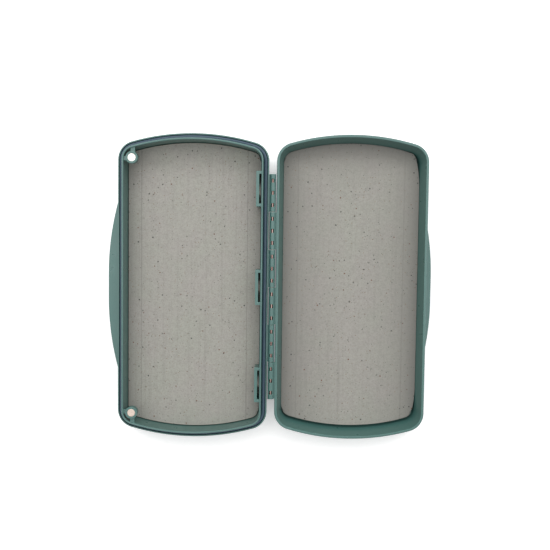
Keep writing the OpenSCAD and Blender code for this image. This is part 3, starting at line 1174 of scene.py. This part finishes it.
@dataclass(frozen=True)
class SoftLamp:
    """A soft lamp: one glowing panel that faces a point."""

    name: str
    place: Point
    target: Point
    width: float
    length: float
    watts: float

    def build(self) -> None:
        """Hangs the lamp and turns it to its target."""
        data = bpy.data.lights.new(self.name, "AREA")
        data.shape = "RECTANGLE"
        data.size = self.width
        data.size_y = self.length
        data.energy = self.watts
        lamp = bpy.data.objects.new(self.name, data)
        lamp.location = self.place
        aim = Vector(self.target) - Vector(self.place)
        lamp.rotation_euler = aim.to_track_quat("-Z", "Y").to_euler()
        bpy.context.scene.collection.objects.link(lamp)


@dataclass
class Studio:
    """White floor, soft overhead light, and the camera of the photograph."""

    image_width: int = 550
    focal_px: float = 777.5
    camera_place: Point = (9.0 * MM, 34.56 * MM, 494.0 * MM)
    tilt_x: float = 0.0562
    tilt_y: float = -0.0148
    roll: float = -0.0130
    sensor_mm: float = 36.0
    clip_start: float = 0.01
    floor_half: float = 0.8
    floor_drop: float = 0.0002
    floor_paint: float = 0.90
    floor_glow: float = 0.60
    glow_reach: float = 0.06
    glow_lean: float = math.radians(45.0)
    near_span: Span = (0.05, 0.15)
    near_share: float = 0.55
    wide_span: Span = (0.55, 0.72)
    wide_share: float = 0.45
    world_strength: float = 0.45
    lamps: tuple[SoftLamp, ...] = (
        SoftLamp("overhead_lamp", (0.25, 0.80, 1.20), (0.25, 0.80, 0.0), 4.5, 2.0, 28.0),
        SoftLamp("upper_lamp", (0.0, 1.30, 0.95), (0.0, 0.0, 0.0), 1.6, 0.6, 7.5),
    )

    def build(self) -> None:
        """Builds the stage, the lamps, the world and the camera."""
        self.floor()
        self.world()
        for lamp in self.lamps:
            lamp.build()
        self.camera()
        log.info("studio ready")

    def seen_directly(self, nodes: Nodes) -> bpy.types.NodeSocket:
        """Builds a mask of the rays that show the backdrop: straight, mirrored and through glass."""
        rays = nodes.add("ShaderNodeLightPath")
        seen = nodes.math("MAXIMUM", rays.outputs["Is Camera Ray"], rays.outputs["Is Glossy Ray"])
        return nodes.math("MAXIMUM", seen, rays.outputs["Is Transmission Ray"])

    def floor(self) -> None:
        """Makes the floor, which shows white and keeps the box's shadow close to the box."""
        half = self.floor_half
        mesh = bpy.data.meshes.new("floor")
        corners = [(-half, -half), (half, -half), (half, half), (-half, half)]
        mesh.from_pydata([(x, y, -self.floor_drop) for x, y in corners], [], [(0, 1, 2, 3)])
        floor = bpy.data.objects.new("floor", mesh)
        bpy.context.scene.collection.objects.link(floor)
        material = bpy.data.materials.new("white_floor")
        nodes = emptied(material)
        paint = nodes.add("ShaderNodeBsdfDiffuse")
        paint.inputs["Color"].default_value = (*[self.floor_paint] * 3, 1.0)
        # The glow is painted light for camera, glossy and transmission rays; an occlusion test leaned
        # towards +Y holds it back near the box, which paints a shadow that reaches furthest on the box's -Y
        # side.
        open_sky = nodes.add("ShaderNodeAmbientOcclusion", samples=16)
        open_sky.inputs["Distance"].default_value = self.glow_reach
        lean = nodes.add("ShaderNodeCombineXYZ")
        nodes.feed(lean, {"Y": math.sin(self.glow_lean), "Z": math.cos(self.glow_lean)})
        nodes.link(lean.outputs["Vector"], open_sky.inputs["Normal"])
        sky = open_sky.outputs["AO"]
        near = nodes.remap(sky, self.near_span, 0.0, self.near_share * self.floor_glow)
        wide = nodes.remap(sky, self.wide_span, 0.0, self.wide_share * self.floor_glow)
        lit = nodes.math("ADD", near, wide)
        glow = nodes.add("ShaderNodeEmission")
        glow.inputs["Color"].default_value = WHITE
        nodes.link(nodes.math("MULTIPLY", self.seen_directly(nodes), lit), glow.inputs["Strength"])
        both = nodes.add("ShaderNodeAddShader")
        nodes.link(paint.outputs[0], both.inputs[0])
        nodes.link(glow.outputs[0], both.inputs[1])
        output = nodes.add("ShaderNodeOutputMaterial")
        nodes.link(both.outputs[0], output.inputs["Surface"])
        mesh.materials.append(material)

    def world(self) -> None:
        """Makes the world: weak light on the box, plain white where it is seen."""
        world = bpy.data.worlds.new("white_studio")
        bpy.context.scene.world = world
        nodes = emptied(world)
        sky = nodes.add("ShaderNodeBackground")
        sky.inputs["Color"].default_value = WHITE
        strength = nodes.remap(self.seen_directly(nodes), (0.0, 1.0), self.world_strength, 1.0)
        nodes.link(strength, sky.inputs["Strength"])
        output = nodes.add("ShaderNodeOutputWorld")
        nodes.link(sky.outputs[0], output.inputs["Surface"])

    def camera(self) -> None:
        """Adds the camera where the photograph was taken from."""
        data = bpy.data.cameras.new("photo_camera")
        data.sensor_width = self.sensor_mm
        data.lens = self.focal_px * self.sensor_mm / self.image_width
        data.clip_start = self.clip_start
        camera = bpy.data.objects.new("photo_camera", data)
        to_camera = (
            Matrix.Rotation(self.roll, 3, "Z")
            @ Matrix.Rotation(self.tilt_y, 3, "Y")
            @ Matrix.Rotation(self.tilt_x, 3, "X")
        )
        turned = to_camera.transposed().to_4x4()
        camera.matrix_world = Matrix.Translation(self.camera_place) @ turned
        bpy.context.scene.collection.objects.link(camera)
        bpy.context.scene.camera = camera


def main() -> None:
    """Loads the frame, builds every sub-assembly and sets the studio."""
    logging.basicConfig(level=logging.INFO, format="%(name)s: %(message)s")
    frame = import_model()
    bpy.context.scene.view_settings.view_transform = "Standard"
    finishes = Finishes(Effects.build())
    # The pads get painted shade along their sides; the lid's pad also along its upper end, more strongly and
    # over a wider band.
    base_pad = FoamPad(
        "base_foam_pad", "base_pad", Body.BASE, outer_side=-1, inset=5.18 * MM, foot_inset=0.16 * MM,
        corner_r=6.3 * MM, outer_corner_r=6.3 * MM, lower_gap=0.0, trim=0.0,
        wall_shade=0.55, wall_shade_width=5.0 * MM, shaded_end=False, seed=3.0,
    )
    lid_pad = FoamPad(
        "lid_foam_pad", "lid_pad", Body.LID, outer_side=1, inset=4.18 * MM, foot_inset=1.25 * MM,
        corner_r=7.0 * MM, outer_corner_r=6.0 * MM, lower_gap=1.9 * MM, trim=1.7 * MM,
        wall_shade=1.0, wall_shade_width=18.0 * MM, shaded_end=True, seed=11.0,
    )
    base = Half(Body.BASE, "base_shell", "base_backing", "base_magnet_upper", "base_magnet_lower", base_pad)
    lid = Half(Body.LID, "lid_shell", "lid_backing", "lid_magnet_upper", "lid_magnet_lower", lid_pad)
    base.build(frame, finishes)
    lid.build(frame, finishes)
    HingeAndSeal().build(frame, finishes)
    Studio().build()


if __name__ == "__main__":
    main()
